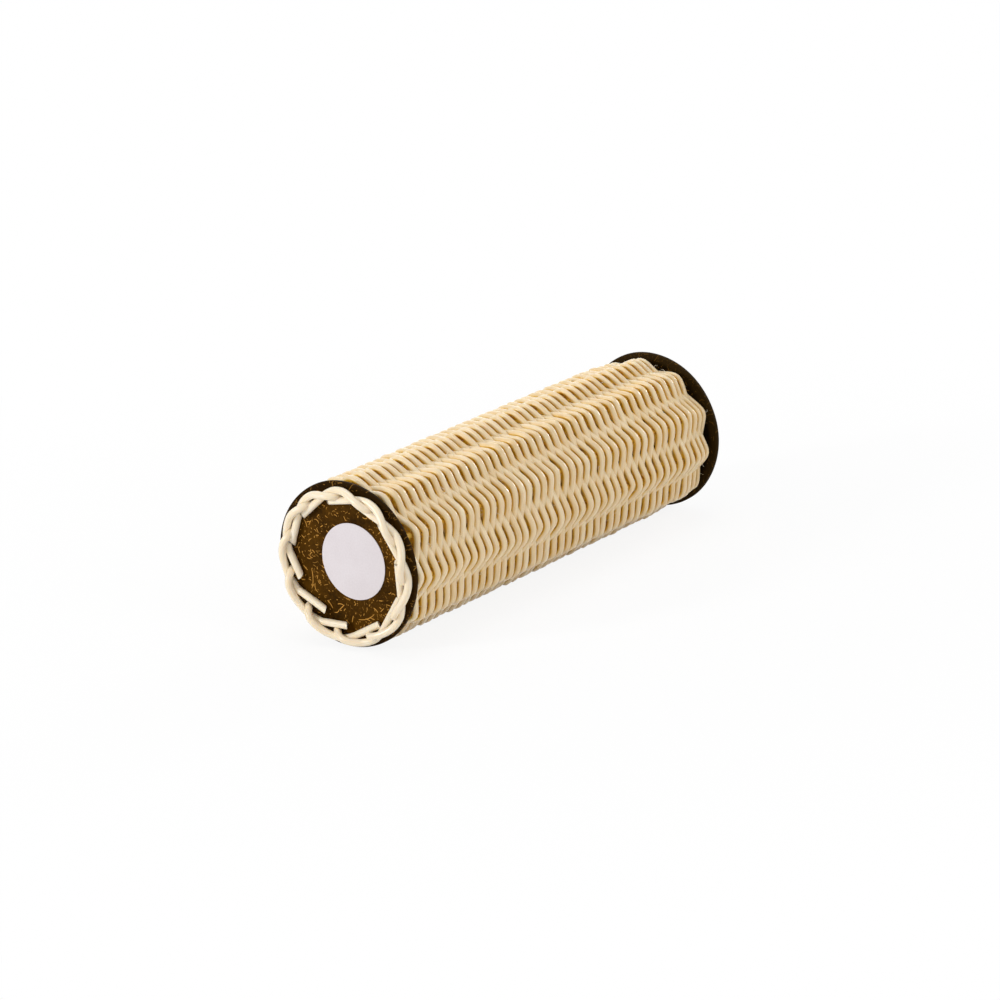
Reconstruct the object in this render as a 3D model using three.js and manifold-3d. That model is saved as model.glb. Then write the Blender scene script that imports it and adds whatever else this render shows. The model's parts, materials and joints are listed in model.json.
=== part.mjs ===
// Ganza: a rattan tube shaker that lies along Y, with its labelled end at -Y and +Z up, in millimetres.
// Eleven stakes run the whole length, one reed is woven round them turn after turn, and a shell disc closes
// each end. The stakes pass through the discs; their front ends are braided into a border and their rear ends
// folded flat. Seeds lie loose inside.

import * as THREE from 'three';
import { mergeVertices } from 'three/addons/utils/BufferGeometryUtils.js';
import Module from 'manifold-3d';

const wasm = await Module();
wasm.setup();

// End discs
const tubeLength = 201; // outer face to outer face of the discs
const discDiameter = 65;
const discThickness = 2.1;
const discEdgeRound = 0.6;

// Stakes: an odd number, so that one spiralling weaver changes sides on every turn
const stakePairs = 5;
const stakeDiameter = 2.7;
const holeInset = 5.5; // from the rim of a disc in to the centres of its holes
const bellySwell = 1.6; // how much further out the stakes stand along the belly than in the holes
const frontTaperLength = 9; // the rounded shoulder from the disc to the belly
const rearTaperLength = 14;
const shoulderBends = [0, 0.12, 0.45, 1]; // shares of a shoulder's length at which a stake bends

// Weaver
const reedDiameter = 2;
const weaverCount = 6; // reeds that follow each other end to end
const frontWeaveGap = 0.8; // between the front disc and the first turn
const rearWeaveGap = 0.8;
const crestSpread = 0.25; // share by which a reed is spread outside a stake, and pressed narrower inside one

// Ends of the stakes, in stake spacings from a strand's own hole, and how far inside the holes they are cut
const braidSteps = { rise: 0.14, over: 0.34, down: 0.58, outside: 0.84, past: 1.08, under: 1.34, tail: 2.3 };
const braidSlant = 3.8;
const foldSteps = { bend: 0.06, tail: 0.75 };
const foldSlant = 1.5;

// Label
const labelDiameter = 29.8;
const labelThickness = 0.3;
const labelOffset = { x: 3.8, z: 1.8 }; // it is stuck on a little off centre

// Seeds: rows that lie along the tube, three on the floor and two on top of them
const seedDiameter = 7;
const seedLength = 8.6;
const floorRowSeeds = 8;
const upperRowSeeds = 6;
const floorRowShifts = [2, -1, -3]; // how many seeds each row has slid along from the middle of the tube
const upperRowShifts = [0, -2];
const seedShoulder = { width: 0.72, along: -0.7 }; // points of its outline, as shares of half its sizes
const seedWaist = { width: 1, along: -0.1 };
const seedNeck = { width: 0.66, along: 0.62 };

// Clearances
const reedClearance = 0.3; // between reeds that touch on the real one
const holeClearance = 0.3;
const glueLine = 0.1;
const seedClearance = 0.2;
const seedStop = 5; // the shoulders stop the seeds this far from the discs

// Facets
const reedSides = 4;
const stakeSides = 6;
const holeSides = 10;
const discFacetsPerStake = 3; // an odd number in all, so that a flat lies at the bottom
const labelFacets = 40;
const seedFacets = 8;

const rattan = { color: 0xe6d3ad, roughness: 0.55, metalness: 0 };
const paleRattan = { color: 0xf1e6cc, roughness: 0.5, metalness: 0 };
const coconutShell = { color: 0x3a2410, roughness: 0.45, metalness: 0 };
const paper = { color: 0xf0eaea, roughness: 0.7, metalness: 0 };
const seedCoat = { color: 0x8c8478, roughness: 0.35, metalness: 0 };

const stakeCount = 2 * stakePairs + 1;
const stakeAngle = (2 * Math.PI) / stakeCount;
const stakeRadius = stakeDiameter / 2;
const reedRadius = reedDiameter / 2;
const discRadius = discDiameter / 2;
const holeCircleRadius = discRadius - holeInset;
const stakeCircleRadius = holeCircleRadius + bellySwell;
const frontFace = -tubeLength / 2;
const rearFace = tubeLength / 2;
const frontWall = frontFace + discThickness;
const rearWall = rearFace - discThickness;

const weaverReach = weaverReaches(stakeCircleRadius);
const crestRadius = stakeCircleRadius + weaverReach.out + reedRadius * weaverReach.outStretch;

// It lies on the rims of the discs, with the crests over the two lowest stakes just clear of the ground.
const discFacets = discFacetsPerStake * stakeCount;
const rimFlatRadius = discRadius * Math.cos(Math.PI / discFacets);
const axisHeight = Math.max(rimFlatRadius, crestRadius * Math.cos(stakeAngle / 2));

// A point at an angle from the top, clockwise as seen from the labelled end
function polar(radius, angle, y) {
  return new THREE.Vector3(radius * Math.sin(angle), y, radius * Math.cos(angle));
}

// How far the stakes stand from the axis: straight along the belly, drawn in to the holes at both ends
function stakeRadiusAt(y) {
  const front = THREE.MathUtils.clamp((y - frontWall) / frontTaperLength, 0, 1);
  const rear = THREE.MathUtils.clamp((rearWall - y) / rearTaperLength, 0, 1);
  return holeCircleRadius + bellySwell * Math.sqrt(Math.min(front, rear));
}

// How far a weaver's bends stand outside and inside a circle of stakes, so that its straight runs clear them
function weaverReaches(circle) {
  const clear = stakeRadius + reedRadius + reedClearance;
  const inside = clear / Math.cos(stakeAngle / 8);
  const nextX = (circle - inside) * Math.cos(stakeAngle);
  const nextY = (circle - inside) * Math.sin(stakeAngle);
  const back = circle - nextX;
  const room = nextY ** 2 - clear ** 2;
  const root = clear * Math.sqrt((clear * back) ** 2 + room * (back ** 2 + nextY ** 2));
  const out = (clear ** 2 * back + root) / room;
  const outStretch = Math.hypot(back + out, nextY) / nextY;
  return { inside, out, outStretch };
}

// A closed reed through rings of points, each ring counter-clockwise about the way the reed runs
function reedGeometry(rings) {
  const sides = rings[0].length;
  const faces = [];
  for (let ring = 0; ring + 1 < rings.length; ring++) {
    for (let side = 0; side < sides; side++) {
      const here = ring * sides + side;
      const beside = ring * sides + ((side + 1) % sides);
      faces.push(here, beside, here + sides);
      faces.push(beside, beside + sides, here + sides);
    }
  }
  const last = (rings.length - 1) * sides;
  for (let side = 1; side + 1 < sides; side++) {
    faces.push(0, side + 1, side);
    faces.push(last, last + side, last + side + 1);
  }
  const geometry = new THREE.BufferGeometry();
  const places = rings.flat().flatMap((point) => point.toArray());
  geometry.setAttribute('position', new THREE.Float32BufferAttribute(places, 3));
  geometry.setIndex(faces);
  geometry.computeVertexNormals();
  return geometry;
}

// A round reed along a bent line, its section carried from point to point without twisting
function reedAlong(points, radius, sides) {
  const runs = points.slice(1).map((point, i) => point.clone().sub(points[i]).normalize());
  const across = new THREE.Vector3(0, 0, 1).cross(runs[0]).normalize();
  const rings = points.map((point, i) => {
    const before = runs[Math.max(i - 1, 0)];
    const after = runs[Math.min(i, runs.length - 1)];
    const heading = before.clone().add(after).normalize();
    across.addScaledVector(heading, -across.dot(heading)).normalize();
    const beside = heading.clone().cross(across);
    return Array.from({ length: sides }, (_, side) => {
      const turn = (2 * Math.PI * side) / sides;
      const corner = point.clone().addScaledVector(across, radius * Math.cos(turn));
      return corner.addScaledVector(beside, radius * Math.sin(turn));
    });
  });
  return reedGeometry(rings);
}

function solidOf(geometry) {
  const bare = geometry.clone();
  bare.deleteAttribute('normal');
  bare.deleteAttribute('uv');
  const merged = mergeVertices(bare, 1e-4);
  const corners = Array.from(merged.index.array);
  const kept = [];
  for (let i = 0; i < corners.length; i += 3) {
    const [a, b, c] = corners.slice(i, i + 3);
    if (a !== b && b !== c && c !== a) {
      kept.push(a, b, c);
    }
  }
  const mesh = new wasm.Mesh({
    numProp: 3,
    vertProperties: merged.attributes.position.array,
    triVerts: new Uint32Array(kept),
  });
  return new wasm.Manifold(mesh);
}

function geometryOf(solid) {
  const mesh = solid.getMesh();
  const geometry = new THREE.BufferGeometry();
  geometry.setAttribute('position', new THREE.Float32BufferAttribute(mesh.vertProperties, 3));
  geometry.setIndex(Array.from(mesh.triVerts));
  geometry.computeVertexNormals();
  return geometry;
}

// A flat disc with a rounded edge and a hole for each stake, its lower face at y
function discGeometry(y) {
  const profile = [
    [0, 0],
    [discRadius - discEdgeRound, 0],
    [discRadius, discEdgeRound],
    [discRadius, discThickness - discEdgeRound],
    [discRadius - discEdgeRound, discThickness],
    [0, discThickness],
  ].map(([radius, height]) => new THREE.Vector2(radius, y + height));
  let disc = solidOf(new THREE.LatheGeometry(profile, discFacets));
  const holeRadius = stakeRadius + holeClearance;
  const drillLength = 3 * discThickness;
  for (let stake = 0; stake < stakeCount; stake++) {
    const drill = new THREE.CylinderGeometry(holeRadius, holeRadius, drillLength, holeSides);
    const centre = polar(holeCircleRadius, stake * stakeAngle, y + discThickness / 2);
    drill.translate(centre.x, centre.y, centre.z);
    disc = disc.subtract(solidOf(drill));
  }
  return geometryOf(disc);
}

// Strands that lie on a disc are a spacing apart, in two layers above its face.
const strandSpacing = stakeDiameter + reedClearance;
const lowStrand = stakeRadius + reedClearance;
const highStrand = lowStrand + strandSpacing;

// The front end of a stake is braided: it goes over the strand before it, outside the next stake, under that
// stake's own strand, and straight in along the face of the disc, past the stake after that, to its cut end.
function braidPoints(stake) {
  const place = (spacings, radius, height) =>
    polar(radius, (stake - spacings) * stakeAngle, frontFace - height);
  const rim = holeCircleRadius + strandSpacing;
  return [
    place(0, holeCircleRadius, 0),
    place(0, holeCircleRadius, lowStrand),
    place(braidSteps.rise, holeCircleRadius + strandSpacing / 8, highStrand - strandSpacing / 8),
    place(braidSteps.over, holeCircleRadius + strandSpacing / 2, highStrand),
    place(braidSteps.down, rim, (lowStrand + highStrand) / 2),
    place(braidSteps.outside, rim, lowStrand),
    place(braidSteps.past, rim, lowStrand),
    place(braidSteps.under, holeCircleRadius + strandSpacing / 4, lowStrand),
    place(braidSteps.tail, holeCircleRadius - braidSlant, lowStrand),
  ];
}

// The rear end of a stake is folded over flat on the disc, towards the next hole.
function foldPoints(stake) {
  const place = (spacings, radius, height) =>
    polar(radius, (stake + spacings) * stakeAngle, rearFace + height);
  return [
    place(0, holeCircleRadius, 0),
    place(0, holeCircleRadius, lowStrand / 2),
    place(foldSteps.bend, holeCircleRadius, lowStrand),
    place(foldSteps.tail, holeCircleRadius - foldSlant, lowStrand),
  ];
}

function stakeGeometry(stake) {
  const frontBends = shoulderBends.map((share) => frontWall + share * frontTaperLength);
  const rearBends = shoulderBends.map((share) => rearWall - share * rearTaperLength).reverse();
  const middle = [...frontBends, ...rearBends].map((y) => polar(stakeRadiusAt(y), stake * stakeAngle, y));
  const points = [...braidPoints(stake).reverse(), ...middle, ...foldPoints(stake)];
  return reedAlong(points, stakeRadius, stakeSides);
}

// The weaver bends at every stake, by turns outside and inside it, and winds from the front disc to the rear.
const turnPitch = reedDiameter + reedClearance;
const firstTurn = frontWall + frontWeaveGap + reedRadius;
const lastTurn = rearWall - rearWeaveGap - reedRadius;
const weaverBends = Math.floor(((lastTurn - firstTurn) / turnPitch) * stakeCount);

// Corners of the reed's section, outwards and along the tube, with a flat side outwards
const reedTurns = Array.from({ length: reedSides }, (_, side) => (2 * Math.PI * (side + 0.5)) / reedSides);
const cornerRadius = reedRadius / Math.max(...reedTurns.map(Math.sin));
const reedCorners = reedTurns.map((turn) => [cornerRadius * Math.cos(turn), cornerRadius * Math.sin(turn)]);

// The ring of a weaver's section at one bend, cut by the plane through the stake and the tube's axis
function weaverRing(bend, shift) {
  const angle = -bend * stakeAngle + shift;
  const y = firstTurn + (turnPitch * bend) / stakeCount;
  const circle = stakeRadiusAt(y);
  const isOutside = bend % 2 === 0;
  const reach = weaverReaches(circle);
  const radius = isOutside ? circle + reach.out : circle - reach.inside;
  const stretch = isOutside ? reach.outStretch : 1;
  const spread = isOutside ? 1 + crestSpread : 1 - crestSpread;
  return reedCorners.map(([out, along]) => polar(radius + stretch * out, angle, y + spread * along));
}

// One length of weaver: it starts and ends inside a stake, where it meets the next length end to end.
function weaverGeometry(length) {
  const lastPair = Math.floor((weaverBends - 1) / 2);
  const insideBend = (part) => 2 * Math.round((lastPair * part) / weaverCount) + 1;
  const first = insideBend(length);
  const last = insideBend(length + 1);
  const trim = reedClearance / holeCircleRadius;
  const rings = [];
  for (let bend = first; bend <= last; bend++) {
    const shift = bend === first ? -trim : bend === last ? trim : 0;
    rings.push(weaverRing(bend, shift));
  }
  return reedGeometry(rings);
}

function labelGeometry() {
  const radius = labelDiameter / 2;
  const geometry = new THREE.CylinderGeometry(radius, radius, labelThickness, labelFacets);
  geometry.translate(labelOffset.x, frontFace - glueLine - labelThickness / 2, labelOffset.z);
  return geometry;
}

// A drop-shaped seed, lying along the tube with its point to the rear
function seedGeometry() {
  const outline = [{ width: 0, along: -1 }, seedShoulder, seedWaist, seedNeck, { width: 0, along: 1 }];
  const profile = outline.map(
    ({ width, along }) => new THREE.Vector2((width * seedDiameter) / 2, (along * seedLength) / 2),
  );
  return new THREE.LatheGeometry(profile, seedFacets);
}

// How far from the axis a seed lies in the valley that the weave has between two stakes
function valleyRadius(circle) {
  const reach = weaverReaches(circle);
  const inner = circle - reach.inside;
  const outer = circle + reach.out;
  const run = new THREE.Vector2(outer * Math.cos(stakeAngle) - inner, outer * Math.sin(stakeAngle));
  const crossing = (2 * inner * outer * Math.cos(stakeAngle / 2)) / (inner + outer);
  const clear = seedDiameter / 2 + reedRadius + seedClearance;
  return crossing - clear / Math.sin(run.angle() - stakeAngle / 2);
}

// Rows of seeds: floor rows lie in the valleys, upper rows on two floor rows or on the ridge between them.
// They slide along straight lines, so the narrowest stake circle on their way sets how low they lie.
function seedRows() {
  const narrowest = Math.min(stakeRadiusAt(frontWall + seedStop), stakeRadiusAt(rearWall - seedStop));
  const reach = weaverReaches(narrowest);
  const floorRadius = valleyRadius(narrowest);
  const halfSpan = floorRadius * Math.sin(stakeAngle / 2);
  const rise = Math.sqrt(Math.max((seedDiameter + seedClearance) ** 2 - halfSpan ** 2, 0));
  const onRows = floorRadius * Math.cos(stakeAngle / 2) - rise;
  const onRidge = narrowest - reach.inside - reedRadius - seedDiameter / 2 - seedClearance;
  const upperRadius = Math.min(onRows, onRidge);
  const floorRows = floorRowShifts.map((shift, i) => ({
    name: `floor_${i + 1}`,
    count: floorRowSeeds,
    radius: floorRadius,
    angle: Math.PI + (i - 1) * stakeAngle,
    shift,
  }));
  const upperRows = upperRowShifts.map((shift, i) => ({
    name: `upper_${i + 1}`,
    count: upperRowSeeds,
    radius: upperRadius,
    angle: Math.PI + (i - 0.5) * stakeAngle,
    shift,
  }));
  return [...floorRows, ...upperRows];
}

// The braid stands further out than the folded ends, so the tube lies a little to the rear of the middle.
const ganza = new THREE.Group();
ganza.position.set(0, (highStrand - lowStrand) / 2, axisHeight);

function add(name, geometry, look) {
  const mesh = new THREE.Mesh(geometry, new THREE.MeshStandardMaterial(look));
  mesh.name = name;
  ganza.add(mesh);
  return mesh;
}

add('front_disc', discGeometry(frontFace), coconutShell);
add('rear_disc', discGeometry(rearWall), coconutShell);
add('label', labelGeometry(), paper);

for (let stake = 0; stake < stakeCount; stake++) {
  add(`stake_${String(stake + 1).padStart(2, '0')}`, stakeGeometry(stake), paleRattan);
}

for (let length = 0; length < weaverCount; length++) {
  add(`weaver_${length + 1}`, weaverGeometry(length), rattan);
}

const seedPitch = seedLength + seedClearance;
for (const row of seedRows()) {
  for (let i = 0; i < row.count; i++) {
    const y = (row.shift + i - (row.count - 1) / 2) * seedPitch;
    const seed = add(`seed_${row.name}_${i + 1}`, seedGeometry(), seedCoat);
    seed.position.copy(polar(row.radius, row.angle, y));
  }
}

export default ganza;
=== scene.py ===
import bpy, bmesh, json, math
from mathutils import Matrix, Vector


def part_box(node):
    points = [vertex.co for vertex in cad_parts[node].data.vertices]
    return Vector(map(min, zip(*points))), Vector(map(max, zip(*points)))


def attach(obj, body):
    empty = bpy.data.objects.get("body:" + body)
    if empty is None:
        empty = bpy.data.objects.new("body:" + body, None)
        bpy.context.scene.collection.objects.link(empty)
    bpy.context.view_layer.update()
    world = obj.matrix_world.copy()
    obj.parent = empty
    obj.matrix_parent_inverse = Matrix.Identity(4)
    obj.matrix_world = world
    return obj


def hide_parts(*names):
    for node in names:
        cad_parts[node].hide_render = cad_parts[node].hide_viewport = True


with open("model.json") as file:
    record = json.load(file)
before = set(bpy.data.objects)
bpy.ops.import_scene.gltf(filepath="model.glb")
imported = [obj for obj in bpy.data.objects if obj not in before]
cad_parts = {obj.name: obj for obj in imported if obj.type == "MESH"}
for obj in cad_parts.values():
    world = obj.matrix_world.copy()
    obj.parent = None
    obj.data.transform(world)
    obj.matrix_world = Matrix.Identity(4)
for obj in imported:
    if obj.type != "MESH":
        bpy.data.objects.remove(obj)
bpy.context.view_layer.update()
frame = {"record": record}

scene = bpy.context.scene
mm = 0.001


# a socket of a node tree that can stand in sums, for shader and geometry trees alike
class Wire:
    def __init__(self, tree, socket=None):
        self.tree = tree
        self.socket = socket

    # any node: its settings first, then the values or links of its sockets
    def node(self, kind, settings=None, sockets=None, out=0):
        made = self.tree.nodes.new(kind)
        for name, value in (settings or {}).items():
            setattr(made, name, value)
        for name, value in (sockets or {}).items():
            if isinstance(value, Wire):
                self.tree.links.new(value.socket, made.inputs[name])
            else:
                made.inputs[name].default_value = value
        return Wire(self.tree, made.outputs[out] if len(made.outputs) else None)

    def maths(self, operation, *values):
        return self.node("ShaderNodeMath", {"operation": operation}, dict(enumerate(values)))

    def __add__(self, other): return self.maths("ADD", self, other)
    def __radd__(self, other): return self.maths("ADD", other, self)
    def __sub__(self, other): return self.maths("SUBTRACT", self, other)
    def __rsub__(self, other): return self.maths("SUBTRACT", other, self)
    def __mul__(self, other): return self.maths("MULTIPLY", self, other)
    def __rmul__(self, other): return self.maths("MULTIPLY", other, self)
    def __truediv__(self, other): return self.maths("DIVIDE", self, other)
    def __rtruediv__(self, other): return self.maths("DIVIDE", other, self)
    def __pow__(self, other): return self.maths("POWER", self, other)
    def __mod__(self, other): return self.maths("FLOORED_MODULO", self, other)
    def __gt__(self, other): return self.maths("GREATER_THAN", self, other)
    def __lt__(self, other): return self.maths("LESS_THAN", self, other)
    def __abs__(self): return self.maths("ABSOLUTE", self)

    # 0 at low, 1 at high, eased between
    def ease(self, low, high):
        return self.node("ShaderNodeMapRange", {"interpolation_type": "SMOOTHSTEP"},
                         {"Value": self, "From Min": low, "From Max": high})

    def parts(self):
        return [self.node("ShaderNodeSeparateXYZ", None, {0: self}, out) for out in range(3)]

    def vector(self, x, y, z):
        return self.node("ShaderNodeCombineXYZ", None, {0: x, 1: y, 2: z})

    def blend(self, first, second):  # this wire is the share of the second colour
        return self.node("ShaderNodeMix", {"data_type": "RGBA"}, {0: self, 6: first, 7: second}, 2)


def paint(red, green, blue):  # a colour as a screen shows it, made linear
    return tuple(c / 12.92 if c < 0.04045 else ((c + 0.055) / 1.055) ** 2.4
                 for c in (red / 255, green / 255, blue / 255)) + (1,)


def newMaterial(name):
    material = bpy.data.materials.new(name)
    material.use_nodes = True
    material.node_tree.nodes.clear()
    return material, Wire(material.node_tree)


def closeMaterial(wire, **sockets):
    named = {name.replace("_", " "): value for name, value in sockets.items()}
    shader = wire.node("ShaderNodeBsdfPrincipled", None, named)
    wire.node("ShaderNodeOutputMaterial", None, {"Surface": shader})


def ownPlace(wire):  # where a point is in its piece's own coordinates
    return wire.node("ShaderNodeTexCoord", None, None, "Object")


def noise(wire, place, scale, detail, **more):
    return wire.node("ShaderNodeTexNoise", None, {"Vector": place, "Scale": scale, "Detail": detail, **more})


def relief(wire, strength, depth, height):
    return wire.node("ShaderNodeBump", None, {"Strength": strength, "Distance": depth, "Height": height})


def treeNumbers(sizes, *others):  # the single numbers of a dictionary that a tree takes as its inputs
    return {k: v for k, v in sizes.items() if isinstance(v, (int, float)) and k not in others}


def newTree(name, inputs):  # a geometry tree with named inputs
    tree = bpy.data.node_groups.new(name, "GeometryNodeTree")
    tree.interface.new_socket("Geometry", in_out="INPUT", socket_type="NodeSocketGeometry")
    tree.interface.new_socket("Geometry", in_out="OUTPUT", socket_type="NodeSocketGeometry")
    for title, value in inputs.items():
        kind = "NodeSocketInt" if isinstance(value, int) else "NodeSocketFloat"
        tree.interface.new_socket(title, in_out="INPUT", socket_type=kind)
    group = tree.nodes.new("NodeGroupInput")
    wires = {socket.name: Wire(tree, socket) for socket in group.outputs if socket.name}
    return tree, wires


def closeTree(tree, geometry, material):
    smooth = geometry.node("GeometryNodeSetShadeSmooth", None, {"Geometry": geometry})
    real = geometry.node("GeometryNodeRealizeInstances", None, {0: smooth})
    painted = geometry.node("GeometryNodeSetMaterial", None, {"Geometry": real, "Material": material})
    geometry.node("NodeGroupOutput", None, {0: painted})


def chance(at, step, low, high, **each):  # a number drawn for each point, or for each ID
    draw = at["seed"] + step
    return draw.node("FunctionNodeRandomValue", {"data_type": "FLOAT"}, {2: low, 3: high, "Seed": draw, **each}, 1)


def keep(wire, geometry, name, value, kind="FLOAT"):
    return wire.node("GeometryNodeStoreNamedAttribute", {"data_type": kind},
                     {"Geometry": geometry, "Name": name, "Value": value})


def kept(wire, name, kind="FLOAT"):
    return wire.node("GeometryNodeInputNamedAttribute", {"data_type": kind}, {"Name": name})


def addPiece(name, mesh):
    piece = bpy.data.objects.new(name, mesh)
    scene.collection.objects.link(piece)
    return piece


def settle(piece):  # what its modifiers make of a piece, as a plain mesh
    mesh = bpy.data.meshes.new_from_object(piece.evaluated_get(bpy.context.evaluated_depsgraph_get()))
    bpy.data.objects.remove(piece)
    return mesh


# runs a tree on a start mesh and keeps the result as a plain mesh
def growPiece(name, tree, sizes, start=None):
    holder = addPiece(name + "_start", start or bpy.data.meshes.new(name + "_start"))
    modifier = holder.modifiers.new("grow", "NODES")
    modifier.node_group = tree
    for item in tree.interface.items_tree:
        if item.in_out == "INPUT" and item.name in sizes:
            modifier[item.identifier] = sizes[item.name]
    mesh = settle(holder)
    mesh.name = name
    return addPiece(name, mesh)


def toMesh(name, sheet):
    mesh = bpy.data.meshes.new(name)
    sheet.to_mesh(mesh)
    sheet.free()
    return mesh


def coat(mesh, material, sharpAngle):  # one material, smooth but for edges past the angle
    mesh.materials.clear()
    mesh.materials.append(material)
    for polygon in mesh.polygons:
        polygon.use_smooth = True
    mesh.set_sharp_from_angle(angle=math.radians(sharpAngle))


def dress(piece, body, slot, *nodes):
    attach(piece, body)
    if nodes:
        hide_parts(*nodes)
    return piece


tube = {
    "axis height": frame["record"]["mounts"][2]["pos_m"][2],
    "front face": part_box("front_disc")[0][1],
    "rear face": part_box("rear_disc")[1][1],
    "disc thickness": 2.1 * mm,
    "stakes": 11,
    "stake circle": 29.4 * mm,   # stake centres along the belly
    "hole circle": 27.0 * mm,    # and where they pass the discs
    "front shoulder": 9 * mm,
    "rear shoulder": 14 * mm,
    "front twist": math.radians(-2.0),   # the stakes run a little askew
    "rear twist": math.radians(2.3),
}
stakeAngle = 2 * math.pi / tube["stakes"]
frontWall = tube["front face"] + tube["disc thickness"]
rearWall = tube["rear face"] - tube["disc thickness"]


def twist(y):
    perMetre = (tube["rear twist"] - tube["front twist"]) / (rearWall - frontWall)
    return tube["front twist"] + (y - frontWall) * perMetre


def polar(radius, angle, y):  # angle from the top, clockwise seen from the labelled end
    return Vector((radius * math.sin(angle), y, tube["axis height"] + radius * math.cos(angle)))


# camera
cameraView = {
    "place": (0.96341, -1.14219, 0.46107),   # from the middle of the labelled disc
    "azimuth": 37.891,
    "elevation": 16.426,
    "roll": -4.052,
    "lens": 151.0,
    "sensor": 36,
    "sees to": 20,
}


def addCamera(view):
    azimuth, elevation, roll = (math.radians(view[k]) for k in ("azimuth", "elevation", "roll"))
    ahead = Vector((-math.sin(azimuth) * math.cos(elevation), math.cos(azimuth) * math.cos(elevation),
                    -math.sin(elevation)))
    data = bpy.data.cameras.new("camera")
    data.lens = view["lens"]
    data.sensor_width = view["sensor"]
    data.clip_end = view["sees to"]
    camera = bpy.data.objects.new("camera", data)
    scene.collection.objects.link(camera)
    level = ahead.to_track_quat("-Z", "Y").to_matrix()
    camera.location = polar(0, 0, tube["front face"]) + Vector(view["place"])
    camera.rotation_euler = (level @ level.Rotation(roll, 3, "Z")).to_euler()
    scene.camera = camera


addCamera(cameraView)
print("camera set")


# rattan: fibres run along the reed, which carries its own lengthwise and round coordinates
rattan = {
    # how fast each pattern changes, about the reed and along it
    "fibre": (5, 90),
    "groove": (9, 260),
    "patch": (0.5, 55),
    "slow change": 9,
    "roughness": 0.2,
    "bump": 0.22,
    "bump depth": 0.12 * mm,
    "light inside": 0.45,                # share of the light that goes into the reed
    "light depth": 1 * mm,
    "light reach": (0.7, 0.62, 0.42),    # red, green and blue
}


def reedMaterial(name, look):
    material, wire = newMaterial(name)
    run = wire.node("ShaderNodeAttribute", {"attribute_name": "run"}, None, 2)
    gap = wire.node("ShaderNodeAttribute", {"attribute_name": "gap"}, None, 2)
    ringX, ringY, _ = wire.node("ShaderNodeAttribute", {"attribute_name": "ring"}, None, 1).parts()

    def onReed(about, along):
        return wire.vector(ringX * about, ringY * about, run * along)

    fibre = noise(wire, onReed(*rattan["fibre"]), 1.0, 3.0, Roughness=0.6)
    groove = noise(wire, onReed(*rattan["groove"]), 1.0, 2.0)
    patch = noise(wire, onReed(*rattan["patch"]), 1.0, 2.0)
    slow = noise(wire, wire.vector(0.3, 0.7, run * rattan["slow change"]), 1.0, 1.0)
    tone = fibre.ease(0.35, 0.65) * 0.5 + patch.ease(0.3, 0.7) * 0.25 + slow.ease(0.3, 0.7) * 0.25
    colour = tone.blend(look["light"], look["dark"])
    colour = gap.blend(colour, look["amber shade"])  # painted shade, amber, deeper down in the gaps and within the weave
    bump = relief(wire, rattan["bump"], rattan["bump depth"], fibre * 0.6 + groove * 0.4)
    closeMaterial(wire, Base_Color=colour, Roughness=rattan["roughness"] + groove * 0.16, Normal=bump,
                  Specular_IOR_Level=0.5, Subsurface_Weight=rattan["light inside"],
                  Subsurface_Scale=rattan["light depth"], Subsurface_Radius=rattan["light reach"])
    return material


# amber shade: painted shade in the gaps of the weave, on the weaver and on the stakes within it
weaverRattan = reedMaterial("weaver rattan", {
    "light": paint(245, 228, 195), "dark": paint(230, 200, 148), "amber shade": paint(243, 200, 52)})
stakeRattan = reedMaterial("stake rattan", {
    "light": paint(247, 238, 218), "dark": paint(243, 222, 189), "amber shade": paint(214, 169, 66)})


# a round section swept along a curve; the section's own place is kept as an attribute for the grain
def sweep(wire, curve, radius, sides, scale):
    section = wire.node("GeometryNodeCurvePrimitiveCircle", None, {"Resolution": sides, "Radius": radius})
    place = wire.node("GeometryNodeInputPosition")
    unit = wire.node("ShaderNodeVectorMath", {"operation": "NORMALIZE"}, {0: place})
    section = keep(wire, section, "ring", unit, "FLOAT_VECTOR")
    return wire.node("GeometryNodeCurveToMesh", None,
                     {"Curve": curve, "Profile Curve": section, "Scale": scale, "Fill Caps": True})


# weaver: one reed wound through the stakes, by turns outside and inside them
weave = {
    "reed radius": 1.17 * mm,
    "turn pitch": 2.3 * mm,
    "first turn": frontWall + 1.8 * mm,
    "bend out": 2.3 * mm,
    "bend in": 2.5 * mm,
    "crest spread": 0.3,     # how much flatter and wider the reed lies over a stake
    "inside spread": 0.88,   # and behind one
    "rear crowding": 0.32,   # how much closer the last turns lie
    "rear thinning": 0.15,   # and how much thinner they are
    "sharpest bend": 0.05,   # share of a span that the bend over a stake takes
    "roundest bend": 0.25,
    # how far a single crossing may be off: round the tube, inwards and along it
    "slip round": 0.025,
    "slip in": 0.3 * mm,
    "slip along": 0.25 * mm,
    "thinnest": 0.92,
    "thickest": 1.05,
    # how far neighbouring turns wander off together
    "wander out": 0.3 * mm,
    "wander round": 0.04,
    "wander along": 0.65 * mm,
    "wander scale": 75.0,
    # from where to where on the way between outside a stake and inside the next
    "over": (0.36, 0.6),
    "under": (0.55, 0.75),
    # where the reed behind a stake starts to be painted in shade
    "inside shade": (0.6, 0.85),
    "shaded flank": (-0.5, 0.4),   # reed radii below its middle where the painted amber shade sets in
    "steps": 12,                # for each bend
    "sides": 12,
    "seed": 7,
    "bends": 924,
    "lengths": 6,
}
turns = weave["bends"] / tube["stakes"]


def shoulder(wire, y):  # 0 at a disc, 1 along the belly, rounded off between
    front = (y - frontWall) / tube["front shoulder"]
    rear = (rearWall - y) / tube["rear shoulder"]
    share = wire.maths("MINIMUM", wire.maths("MINIMUM", front, rear), 1.0)
    return wire.maths("MAXIMUM", share, 0.0) ** 0.5


def fromAxis(wire):  # how far a point stands from the tube's axis
    x, _, z = wire.node("GeometryNodeInputPosition").parts()
    up = z - tube["axis height"]
    return (x * x + up * up) ** 0.5


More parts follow.
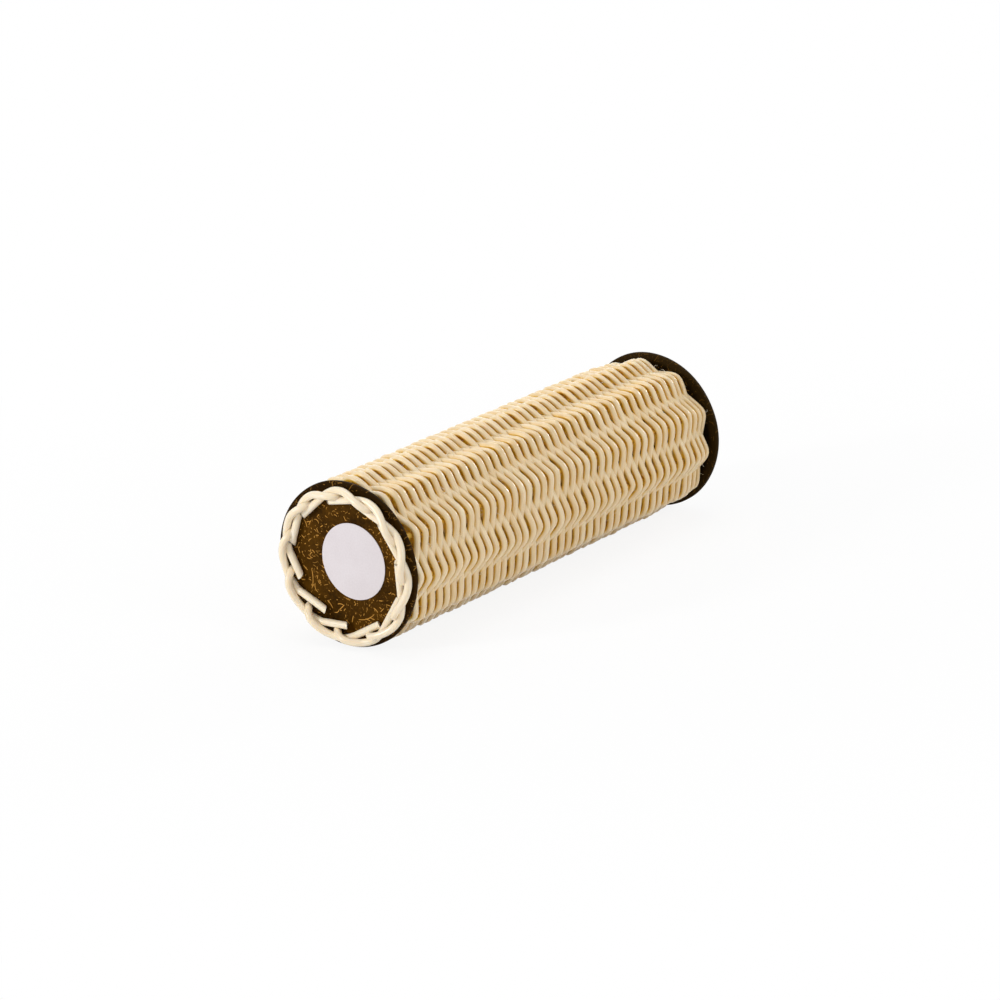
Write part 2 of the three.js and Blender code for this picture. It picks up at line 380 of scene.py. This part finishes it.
def weaverTree():
    inputs = treeNumbers(weave, "bends", "lengths")
    inputs.update({"first bend": 0, "last bend": 0})
    tree, at = newTree("woven reed", inputs)
    wire = Wire(tree)
    count = (at["last bend"] - at["first bend"]) * at["steps"] + 1
    line = wire.node("GeometryNodeMeshLine", None, {"Count": count})
    index = wire.node("GeometryNodeInputIndex")
    bend = at["first bend"] + index / at["steps"]
    away = 1 - abs(1 - bend % 2)       # 0 outside a stake, 1 inside the next
    crossing = wire.maths("ROUND", bend / 2)

    def slip(step, low, high):  # one draw for each crossing over a stake
        return chance(at, step, low, high, ID=crossing)

    kink = slip(1, at["sharpest bend"], at["roundest bend"])
    near = (1 - away) * (1 - away)
    done = bend / weave["bends"]
    crowd = done ** 6                  # only towards the rear disc
    y = at["first turn"] + at["turn pitch"] * (done + at["rear crowding"] * crowd * (1 - done)) * turns
    circle = tube["hole circle"] + (tube["stake circle"] - tube["hole circle"]) * shoulder(wire, y)
    outer = circle + at["bend out"]
    inner = circle - at["bend in"]
    # a straight run from the outer to the inner bend, in polar form
    eased = ((away * away + kink * kink) ** 0.5 - kink) / ((1 + kink * kink) ** 0.5 - kink)
    radius = outer * inner * math.sin(stakeAngle) / (
        outer * wire.maths("SINE", eased * stakeAngle) + inner * wire.maths("SINE", (1 - eased) * stakeAngle))
    angle = bend * -stakeAngle + twist(y) + slip(2, at["slip round"] * -1, at["slip round"]) * near
    spot = wire.vector(radius * wire.maths("SINE", angle), y, radius * wire.maths("COSINE", angle))
    stray = [part - 0.5 for part in wire.node("ShaderNodeTexNoise", None, {
        "Vector": spot, "Scale": at["wander scale"], "Detail": 1.0}, "Color").parts()]
    radius = radius + slip(3, at["slip in"] * -1, 0.0) * near + stray[0] * at["wander out"]
    angle = angle + stray[1] * at["wander round"]
    y = y + slip(4, at["slip along"] * -1, at["slip along"]) * near + stray[2] * at["wander along"]
    place = wire.vector(radius * wire.maths("SINE", angle), y,
                        tube["axis height"] + radius * wire.maths("COSINE", angle))
    line = wire.node("GeometryNodeSetPosition", None, {"Geometry": line, "Position": place})
    thick = (slip(5, at["thinnest"], at["thickest"]) * near + 1 - near) * (1 - crowd * at["rear thinning"])
    over = (1 - away.ease(*weave["over"])) * (1 - crowd)
    under = away.ease(*weave["under"])
    line = keep(wire, line, "run", bend * (tube["stake circle"] * stakeAngle))
    line = keep(wire, line, "thick", thick)
    line = keep(wire, line, "middle", y)
    line = keep(wire, line, "wide", at["crest spread"] * over + at["inside spread"] * under)
    line = keep(wire, line, "inside", away.ease(*weave["inside shade"]))
    line = keep(wire, line, "centre", radius)
    curve = wire.node("GeometryNodeMeshToCurve", None, {"Mesh": line})
    reed = sweep(wire, curve, at["reed radius"], at["sides"], kept(wire, "thick"))
    # spread along the tube, over and behind the stakes
    _, sideways, _ = wire.node("GeometryNodeInputPosition").parts()
    spread = (sideways - kept(wire, "middle")) * kept(wire, "wide")
    reed = wire.node("GeometryNodeSetPosition", None, {"Geometry": reed, "Offset": wire.vector(0.0, spread, 0.0)})
    # painted shade: amber on the lower flank and where the reed runs behind the stakes
    low = ((kept(wire, "centre") - fromAxis(wire)) / at["reed radius"]).ease(*weave["shaded flank"])
    reed = keep(wire, reed, "gap", wire.maths("MAXIMUM", low, kept(wire, "inside")))
    closeTree(tree, reed, weaverRattan)
    return tree


def insideBend(part):  # a length of reed ends inside a stake
    lastPair = (weave["bends"] - 1) // 2
    return 2 * math.floor(lastPair * part / weave["lengths"] + 0.5) + 1


wovenReed = weaverTree()
weavers = []
for length in range(weave["lengths"]):
    sizes = dict(weave)
    sizes.update({"first bend": insideBend(length), "last bend": insideBend(length + 1)})
    piece = growPiece(f"weaverReed{length + 1}", wovenReed, sizes)
    weavers.append(dress(piece, "shaker", "weave", f"weaver_{length + 1}"))
print("weavers:", [len(piece.data.polygons) for piece in weavers])


# stakes: straight through the weave, braided into a border in front and folded flat behind
stakeReed = {
    "reed radius": 1.45 * mm,
    "inside radius": 1.2 * mm,   # pressed thinner by the weave
    # from where to where past the inner faces of the discs; there the stake is pressed thinner and painted in amber
    # shade
    "pressed in front": (-1.5 * mm, 2 * mm),
    "pressed behind": (-1.5 * mm, 0.5 * mm),
    "step": 0.5 * mm,
    "bend steps": 16,
    "belly steps": 70,
    "tail steps": 5,
    "sides": 14,
    "cut": 0.8,                  # slope of the cut end
    # stake spacings from its own hole, mm outwards from the holes, mm above the face of the disc
    "braid": [(0, 0, -2.2), (0, 0.1, 0.3), (0.04, 0.2, 2.0), (0.15, 0.5, 3.7), (0.34, 1.2, 4.4), (0.6, 2.1, 3.4),
              (0.85, 2.5, 2.2), (1.1, 2.3, 1.6), (1.3, 1.5, 1.45), (1.5, 0.4, 1.45)],
    "drift": 1.1 * mm,           # the whole border sits a little to the right
    # where each tail is cut off
    "tails": [(2.31, -0.8), (2.40, -0.95), (2.36, -1.55), (2.43, -0.8), (2.62, -0.7), (2.54, -1.5), (2.52, -0.9),
              (2.45, -2.0), (2.29, -3.35), (2.44, -4.9), (2.18, -3.4)],
    "tail height": 1.5,
    "fold": [(0, 0, -2.2), (0, 0, 0.2), (0.015, 0, 0.9), (0.07, -0.1, 1.35), (0.16, -0.3, 1.45), (0.75, -1.5, 1.45)],
}


def endPath(stake, face, outward, way, steps):  # from the disc to the cut end, which lies straight
    points = []
    for spacings, out, height in steps:
        angle = (stake + way * spacings) * stakeAngle + twist(face)
        points.append(polar(tube["hole circle"] + out * mm, angle, face + outward * height * mm))
    bent, start, end = points[:-1], points[-2], points[-1]
    count = stakeReed["tail steps"]
    return bent + [start.lerp(end, i / count) for i in range(1, count + 1)]


def stakePath(stake):
    tail = (*stakeReed["tails"][stake], stakeReed["tail height"])
    front = endPath(stake, tube["front face"], -1, -1, stakeReed["braid"] + [tail])[::-1]
    for point in front:
        lift = (tube["front face"] - point.y) / (stakeReed["tail height"] * mm)
        point.x += stakeReed["drift"] * min(max(lift, 0), 1)
    rear = endPath(stake, tube["rear face"], 1, 1, stakeReed["fold"])
    swell = tube["stake circle"] - tube["hole circle"]
    middle = []
    for step in range(1, stakeReed["belly steps"]):
        y = frontWall + (rearWall - frontWall) * step / stakeReed["belly steps"]
        share = min((y - frontWall) / tube["front shoulder"], (rearWall - y) / tube["rear shoulder"], 1)
        middle.append(polar(tube["hole circle"] + swell * share ** 0.5, stake * stakeAngle + twist(y), y))
    points = front + middle + rear
    mesh = bpy.data.meshes.new("stakePath")
    mesh.from_pydata(points, [(i, i + 1) for i in range(len(points) - 1)], [])
    return mesh


def stakeTree():
    tree, at = newTree("folded reed", treeNumbers(stakeReed, "belly steps", "tail steps", "tail height", "drift"))
    wire = Wire(tree)
    curve = wire.node("GeometryNodeMeshToCurve", None, {"Mesh": at["Geometry"]})
    curve = wire.node("GeometryNodeCurveSplineType", {"spline_type": "CATMULL_ROM"}, {"Curve": curve})
    curve = wire.node("GeometryNodeSetSplineResolution", None, {"Geometry": curve, "Resolution": at["bend steps"]})
    curve = wire.node("GeometryNodeResampleCurve", {"mode": "LENGTH"}, {"Curve": curve, "Length": at["step"]})
    _, y, _ = wire.node("GeometryNodeInputPosition").parts()
    within = (y - frontWall).ease(*stakeReed["pressed in front"]) * (rearWall - y).ease(*stakeReed["pressed behind"])
    curve = keep(wire, curve, "run", wire.node("GeometryNodeSplineParameter", None, None, "Length"))
    curve = keep(wire, curve, "share", wire.node("GeometryNodeSplineParameter", None, None, "Factor"))
    # painted shade: amber on the stake within the weave
    curve = keep(wire, curve, "gap", within)
    curve = keep(wire, curve, "thick", 1 + within * (at["inside radius"] / at["reed radius"] - 1))
    curve = keep(wire, curve, "heading", wire.node("GeometryNodeInputTangent"), "FLOAT_VECTOR")
    reed = sweep(wire, curve, at["reed radius"], at["sides"], kept(wire, "thick"))
    # the two end rings lean, as the strands are cut off at a slant
    hairsbreadth = 0.0001
    isEnd = (kept(wire, "share") > 1 - hairsbreadth) + (kept(wire, "share") < hairsbreadth)
    lean = kept(wire, "ring", "FLOAT_VECTOR").parts()[0] * at["cut"] * at["reed radius"] * isEnd
    shift = wire.node("ShaderNodeVectorMath", {"operation": "SCALE"},
                      {0: kept(wire, "heading", "FLOAT_VECTOR"), "Scale": lean})
    reed = wire.node("GeometryNodeSetPosition", None, {"Geometry": reed, "Offset": shift})
    closeTree(tree, reed, stakeRattan)
    return tree


foldedReed = stakeTree()
for stake in range(tube["stakes"]):
    piece = growPiece(f"stakeReed{stake + 1:02d}", foldedReed, stakeReed, stakePath(stake))
    dress(piece, "shaker", "stake", f"stake_{stake + 1:02d}")
print("stakes done")


# loose fibres: fine pale hairs that stand off the reeds between the stakes
fuzz = {
    "hairs per area": 16000.0,
    "lowest": 28.9 * mm,         # how far from the axis they grow
    "highest": 30.8 * mm,
    "shortest": 0.6,             # times the path of one hair
    "longest": 1.5,
    "full turn": 6.28,
    "grain from": 2.0,           # metres of reed in which its grain may start
    "seed": 5,
    "thickness": 0.12 * mm,
    "taper": 0.8,
    "corners": (0.5, 2.6, 4.7),  # of its three-sided section
    # mm along the skin of the reed, aside and off it
    "path": [(0, 0, -0.2), (0.3, 0, 0.7), (0.7, 0.12, 1.2), (1.1, 0.4, 1.35), (1.5, 0.8, 1.3)],
}
fuzzRattan = reedMaterial("loose fibre", {
    "light": paint(252, 243, 222), "dark": paint(246, 232, 202), "amber shade": paint(246, 232, 202)})


def fuzzTree():
    tree, at = newTree("loose fibres", treeNumbers(fuzz, "thickness", "taper"))
    wire = Wire(tree)
    far = fromAxis(wire)
    spots = {"Mesh": at["Geometry"], "Selection": (far > at["lowest"]) * (far < at["highest"]),
             "Density": at["hairs per area"], "Seed": at["seed"]}
    points = wire.node("GeometryNodeDistributePointsOnFaces", None, spots)
    facing = Wire(tree, points.socket.node.outputs["Rotation"])
    turn = wire.vector(0.0, 0.0, chance(at, 1, 0.0, at["full turn"]))
    spin = wire.node("FunctionNodeEulerToRotation", None, {0: turn})
    turned = wire.node("FunctionNodeRotateRotation", {"rotation_space": "LOCAL"},
                       {"Rotation": facing, "Rotate By": spin})
    points = keep(wire, points, "run", chance(at, 3, 0.0, at["grain from"]))
    hair = wire.node("GeometryNodeObjectInfo", None, {"Object": hairShape}, "Geometry")
    long = chance(at, 2, at["shortest"], at["longest"])
    hairs = wire.node("GeometryNodeInstanceOnPoints", None, {
        "Points": points, "Instance": hair, "Rotation": turned, "Scale": wire.vector(long, long, 1.0)})
    closeTree(tree, hairs, fuzzRattan)
    return tree


def hairMesh():  # thinner towards its end
    sheet = bmesh.new()
    rings = []
    last = len(fuzz["path"]) - 1
    for step, place in enumerate(fuzz["path"]):
        size = fuzz["thickness"] * (1 - fuzz["taper"] * step / last)
        corners = [Vector((0, math.cos(a), math.sin(a))) * size for a in fuzz["corners"]]
        rings.append([sheet.verts.new(Vector(place) * mm + corner) for corner in corners])
    sides = len(fuzz["corners"])
    for lower, upper in zip(rings, rings[1:]):
        for i in range(sides):
            after = (i + 1) % sides
            sheet.faces.new([lower[i], lower[after], upper[after], upper[i]])
    sheet.faces.new(rings[0])
    sheet.faces.new(rings[-1])
    bmesh.ops.recalc_face_normals(sheet, faces=sheet.faces)
    return toMesh("hair", sheet)


def addFuzz():
    reeds = bmesh.new()
    for piece in weavers:
        reeds.from_mesh(piece.data)
    piece = growPiece("looseFibres", fuzzTree(), fuzz, toMesh("reeds", reeds))
    print("loose fibres:", len(piece.data.polygons) // len(hairShape.data.polygons))
    dress(piece, "shaker", "weave")


hairShape = addPiece("hair", hairMesh())
addFuzz()
bpy.data.objects.remove(hairShape)


# discs of coconut shell: dark, with short golden fibres lying in all directions
shell = {
    "radius": 32.34 * mm,
    "edge round": 0.7 * mm,
    "hole radius": 1.62 * mm,
    "hole sides": 24,
    "drill length": 6 * mm,
    "segments": 176,
    "sharp past": 40,
    # the rim is fullest at this angle from the top
    "fuller": 0.3 * mm,
    "fullest at": 1.05,
    "waves": [(3, 1, 0.06 * mm), (7, 0, 0.04 * mm)],   # number, start and depth of the waves in the rim
    # cells per metre, then width, length, curve and shift of the fibre in each cell
    "fibres": [(230, 0.045, 0.4, 2.5, 3), (75, 0.013, 0.34, 1.6, 17), (330, 0.055, 0.42, 3, 11)],
    "fine fibres": (520, 0.075, 0.38, 2, 29),
    "shortest fibre": 0.08,
    # scale and detail of each pattern
    "cloud": (60.0, 3.0),
    "grain": (900.0, 2.0),
    "streak": (130.0, 2.0),
    # painted shade: the outer band beyond the border turns to the rim colour, from where to where
    "rim shade from": (28 * mm, 30.5 * mm),
    "shaded left side": (-27 * mm, -8 * mm),
    "bump": 0.25,
    "bump depth": 0.1 * mm,
    "front": {"light": paint(92, 58, 5), "dark": paint(40, 23, 0),
              "fleck": paint(206, 150, 70), "rim": paint(34, 19, 0)},
    # the rear shell: the same coconut shell, painted in shade
    "rear": {"light": paint(44, 30, 5), "dark": paint(14, 8, 0),
             "fleck": paint(126, 90, 34), "rim": paint(46, 32, 9)},
}


def flecks(wire, x, z, scale, width, length, curve, shift):  # one short fibre in each cell
    plane = wire.vector(x * scale + shift, z * scale - shift, 0.0)
    cell = {"Vector": plane, "Scale": 1.0, "Randomness": 1.0}
    settings = {"voronoi_dimensions": "2D"}
    centreX, centreZ, _ = wire.node("ShaderNodeTexVoronoi", settings, cell, "Position").parts()
    chanceX, chanceY, chanceZ = wire.node("ShaderNodeTexVoronoi", settings, cell, "Color").parts()
    planeX, planeZ, _ = plane.parts()
    turn = chanceX * (2 * math.pi)
    cosine, sine = wire.maths("COSINE", turn), wire.maths("SINE", turn)
    offX, offZ = planeX - centreX, planeZ - centreZ
    along = offX * cosine + offZ * sine
    across = offZ * cosine - offX * sine + along * along * (chanceY - 0.5) * curve
    reach = chanceZ * chanceZ * length + shell["shortest fibre"]
    side = 1 - abs(across).ease(width * 0.4, width)
    ends = 1 - abs(along).ease(reach * 0.7, reach)
    return side * ends * chanceY.ease(0.15, 0.5)


def shellMaterial(name, look):
    material, wire = newMaterial(name)
    x, y, z = ownPlace(wire).parts()
    plane = wire.vector(x, y * 0.3, z)
    cloud = noise(wire, plane, *shell["cloud"])
    grain = noise(wire, plane, *shell["grain"])
    streak = noise(wire, wire.vector(x * 0.3, 0.0, z), *shell["streak"])
    tone = cloud.ease(0.3, 0.72) * 0.75 + grain.ease(0.3, 0.7) * 0.25
    tone = tone * (1 - streak.ease(0.55, 0.75) * 0.7)
    tone = tone * (0.45 + x.ease(*shell["shaded left side"]) * 0.55)  # painted shade: darker on the left side
    colour = tone.blend(look["dark"], look["light"])
    up = z - tube["axis height"]
    # painted shade on the outer band, with fewer flecks there
    rim = ((x * x + up * up) ** 0.5).ease(*shell["rim shade from"]) * 0.85
    colour = rim.blend(colour, look["rim"])
    fibre = flecks(wire, x, z, *shell["fine fibres"]) * cloud.ease(0.35, 0.6)
    for layer in shell["fibres"]:
        fibre = wire.maths("MAXIMUM", fibre, flecks(wire, x, z, *layer))
    fibre = fibre * (1 - rim * 0.7)
    colour = fibre.blend(colour, look["fleck"])
    bump = relief(wire, shell["bump"], shell["bump depth"], grain * 0.5 + fibre * 0.6)
    closeMaterial(wire, Base_Color=colour, Roughness=0.5 + cloud * 0.16, Normal=bump, Specular_IOR_Level=0.03)
    return material


def latheMesh(name, profile, segments):  # profile of (radius, y) pairs turned about the tube's axis
    sheet = bmesh.new()
    rings = []
    for radius, y in profile:
        count = segments if radius else 1
        rings.append([sheet.verts.new(polar(radius, 2 * math.pi * i / segments, y)) for i in range(count)])
    for lower, upper in zip(rings, rings[1:]):
        for i in range(segments):
            corners = [ring[k % len(ring)] for ring, k in ((lower, i), (lower, i + 1), (upper, i + 1), (upper, i))]
            sheet.faces.new(list(dict.fromkeys(corners)))
    bmesh.ops.recalc_face_normals(sheet, faces=sheet.faces)
    return toMesh(name, sheet)


def roundedProfile(radius, low, high, edge, steps=6):
    quarter = [i / steps * math.pi / 2 for i in range(steps + 1)]
    under = [(radius - edge + edge * math.sin(a), low + edge - edge * math.cos(a)) for a in quarter]
    over = [(radius - edge + edge * math.cos(a), high - edge + edge * math.sin(a)) for a in quarter]
    return [(0, low)] + under + over + [(0, high)]


def handCut(mesh):  # the rim is a little fuller at the upper right and not quite round
    for vert in mesh.vertices:
        x, up = vert.co.x, vert.co.z - tube["axis height"]
        angle = math.atan2(x, up)
        grow = shell["fuller"] * max(0, math.cos(angle - shell["fullest at"]))
        for number, start, depth in shell["waves"]:
            grow -= depth * (1 + math.sin(number * angle + start))
        share = 1 + grow / shell["radius"]
        vert.co.x, vert.co.z = x * share, tube["axis height"] + up * share


def drillMesh(name, y):  # one straight drill through each hole
    drills = bmesh.new()
    for stake in range(tube["stakes"]):
        centre = polar(tube["hole circle"], stake * stakeAngle + twist(y), y)
        made = bmesh.ops.create_cone(drills, cap_ends=True, segments=shell["hole sides"],
                                     radius1=shell["hole radius"], radius2=shell["hole radius"],
                                     depth=shell["drill length"])
        for vert in made["verts"]:
            vert.co = centre + Vector((vert.co.x, vert.co.z, vert.co.y))
    bmesh.ops.recalc_face_normals(drills, faces=drills.faces)
    return toMesh(name, drills)


def shellDisc(name, low, node, material):
    profile = roundedProfile(shell["radius"], low, low + tube["disc thickness"], shell["edge round"])
    blank = latheMesh(name, profile, shell["segments"])
    handCut(blank)
    disc = addPiece(name + "_start", blank)
    drill = addPiece(name + "_drills", drillMesh(name + "_drills", low + tube["disc thickness"] / 2))
    cut = disc.modifiers.new("holes", "BOOLEAN")
    cut.operation = "DIFFERENCE"
    cut.object = drill
    mesh = settle(disc)
    bpy.data.objects.remove(drill)
    coat(mesh, material, shell["sharp past"])
    return dress(addPiece(name, mesh), "shaker", "shell", node)


shellDisc("frontShell", tube["front face"], "front_disc", shellMaterial("coconut shell", shell["front"]))
shellDisc("rearShell", rearWall, "rear_disc", shellMaterial("coconut shell in shade", shell["rear"]))
print("discs done")


# label: a round of white paper, stuck on a little off centre
label = {
    "radius": 14.9 * mm,
    "thickness": 0.22 * mm,
    "stands off": 0.1 * mm,
    "edge round": 0.08 * mm,
    "edge steps": 3,
    "segments": 120,
    "sharp past": 50,
    "x": 3.8 * mm,
    "z": 1.8 * mm,
    # scale and detail of each pattern
    "pulp": (1400.0, 3.0),
    "soil": (90.0, 2.0),
    "bump": 0.15,
    "bump depth": 0.04 * mm,
    "light": paint(226, 219, 222),
    "dark": paint(218, 210, 213),
}


def paperMaterial():
    material, wire = newMaterial("label paper")
    place = ownPlace(wire)
    pulp = noise(wire, place, *label["pulp"])
    soil = noise(wire, place, *label["soil"])
    colour = (pulp.ease(0.3, 0.7) * 0.5 + soil.ease(0.35, 0.75) * 0.5).blend(label["light"], label["dark"])
    bump = relief(wire, label["bump"], label["bump depth"], pulp)
    closeMaterial(wire, Base_Color=colour, Roughness=0.55 + pulp * 0.15, Normal=bump, Specular_IOR_Level=0.3)
    return material


def addLabel():
    back = tube["front face"] - label["stands off"]
    profile = roundedProfile(label["radius"], back - label["thickness"], back, label["edge round"],
                             label["edge steps"])
    mesh = latheMesh("labelRound", profile, label["segments"])
    for vert in mesh.vertices:
        vert.co += Vector((label["x"], 0, label["z"]))
    coat(mesh, paperMaterial(), label["sharp past"])
    dress(addPiece("labelRound", mesh), "shaker", "paper", "label")


addLabel()
print("label done")


# seeds: hard glossy drops that lie in rows on the floor of the tube
seed = {
    "radius": 3.45 * mm,
    "length": 8.5 * mm,
    "segments": 16,
    # shares of the radius and of half the length
    "profile": [(0, -1), (0.22, -0.99), (0.5, -0.9), (0.76, -0.68), (0.93, -0.38), (1, -0.06), (0.95, 0.25),
                (0.8, 0.52), (0.55, 0.76), (0.3, 0.91), (0.12, 0.98), (0, 1)],
    # scale and detail of each pattern
    "vein": (260.0, 3.0),
    "mottle": (120.0, 2.0),
    "bump": 0.2,
    "bump depth": 0.1 * mm,
    "light": paint(176, 164, 142),
    "dark": paint(92, 80, 66),
}


def seedMaterial():
    material, wire = newMaterial("seed coat")
    place = ownPlace(wire)
    x, y, z = place.parts()
    vein = noise(wire, wire.vector(x * 5, y, z * 5), *seed["vein"])  # drawn out lengthwise
    mottle = noise(wire, place, *seed["mottle"])
    colour = (vein.ease(0.35, 0.65) * 0.6 + mottle.ease(0.3, 0.7) * 0.4).blend(seed["light"], seed["dark"])
    bump = relief(wire, seed["bump"], seed["bump depth"], vein)
    closeMaterial(wire, Base_Color=colour, Roughness=0.22 + mottle * 0.15, Normal=bump, Specular_IOR_Level=0.5)
    return material


def seedTree():
    tree, at = newTree("seed row", {})
    wire = Wire(tree)
    drop = wire.node("GeometryNodeObjectInfo", None, {"Object": seedShape}, "Geometry")
    row = wire.node("GeometryNodeInstanceOnPoints", None, {"Points": at["Geometry"], "Instance": drop})
    closeTree(tree, row, seedMaterial())
    return tree


def seedMesh():
    profile = [(radius * seed["radius"], along * seed["length"] / 2) for radius, along in seed["profile"]]
    mesh = latheMesh("seedDrop", profile, seed["segments"])
    for vert in mesh.vertices:
        vert.co.z -= tube["axis height"]
    return mesh


seedShape = addPiece("seedDrop", seedMesh())
seedRow = seedTree()
for body, nodes in frame["record"]["behaviour"]["bodies"].items():
    if body == "shaker":
        continue
    centres = [(Vector(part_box(node)[0]) + Vector(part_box(node)[1])) / 2 for node in nodes]
    start = bpy.data.meshes.new(body)
    start.from_pydata(centres, [], [])
    piece = growPiece(body.replace("seed_row", "seeds"), seedRow, {}, start)
    dress(piece, body, "seed", *nodes)
bpy.data.objects.remove(seedShape)
print("seeds done")


# floor and light
studio = {
    "floor": paint(250, 250, 250),
    "half width": 6,
    "world": 0.42,
    "near white": 0.88,         # how white the floor looks beside the part, where its shadow lies
    "white from": (0.12, 0.4),  # and it is all white further out
    "aim": (0, 0, 0.03),
    # watts, place and size of each soft lamp
    "lamps": {
        "back": (5, (0.15, 1.4, 0.4), 0.3),
        "behind": (1.8, (-0.8, 1.05, 0.45), 0.6),
        "top": (5.3, (-0.15, 0.1, 1.3), 1.0),
        "right": (3.6, (1.3, -0.2, 0.7), 0.5),
        "left": (7.6, (-0.6, -1.15, 0.5), 0.22),
    },
}


def seenRay(wire):  # 1 for a ray that shows the stage itself, straight, mirrored or through a piece
    camera, glossy, through = (wire.node("ShaderNodeLightPath", None, None, name)
                               for name in ("Is Camera Ray", "Is Glossy Ray", "Is Transmission Ray"))
    return wire.maths("MAXIMUM", wire.maths("MAXIMUM", camera, glossy), through)


def addFloor():
    material, wire = newMaterial("pale floor")
    matte = wire.node("ShaderNodeBsdfDiffuse", None, {"Color": studio["floor"]})
    glow = wire.node("ShaderNodeEmission", None, {"Color": (1, 1, 1, 1), "Strength": 1.0})
    x, y, _ = ownPlace(wire).parts()
    away = ((x * x + y * y) ** 0.5).ease(*studio["white from"])
    share = studio["near white"] + (1 - studio["near white"]) * away
    surface = wire.node("ShaderNodeMixShader", None, {0: seenRay(wire) * share, 1: matte, 2: glow})
    wire.node("ShaderNodeOutputMaterial", None, {"Surface": surface})
    mesh = bpy.data.meshes.new("floor")
    half = studio["half width"]
    mesh.from_pydata([(-half, -half, 0), (half, -half, 0), (half, half, 0), (-half, half, 0)], [], [(0, 1, 2, 3)])
    mesh.materials.append(material)
    addPiece("floor", mesh)


def addLight():
    world = bpy.data.worlds.new("studio")
    world.use_nodes = True
    world.node_tree.nodes.clear()
    wire = Wire(world.node_tree)
    soft = wire.node("ShaderNodeBackground", None, {"Color": (1, 1, 1, 1), "Strength": studio["world"]})
    white = wire.node("ShaderNodeBackground", None, {"Color": (1, 1, 1, 1), "Strength": 1.0})
    surface = wire.node("ShaderNodeMixShader", None, {0: seenRay(wire), 1: soft, 2: white})
    wire.node("ShaderNodeOutputWorld", None, {"Surface": surface})
    scene.world = world
    for name, (power, place, size) in studio["lamps"].items():
        data = bpy.data.lights.new(name, "AREA")
        data.energy = power
        data.size = size
        lamp = bpy.data.objects.new(name, data)
        lamp.location = place
        lamp.rotation_euler = (Vector(studio["aim"]) - Vector(place)).to_track_quat("-Z", "Y").to_euler()
        scene.collection.objects.link(lamp)


addFloor()
addLight()
scene.view_settings.view_transform = "Standard"
print("stage done")
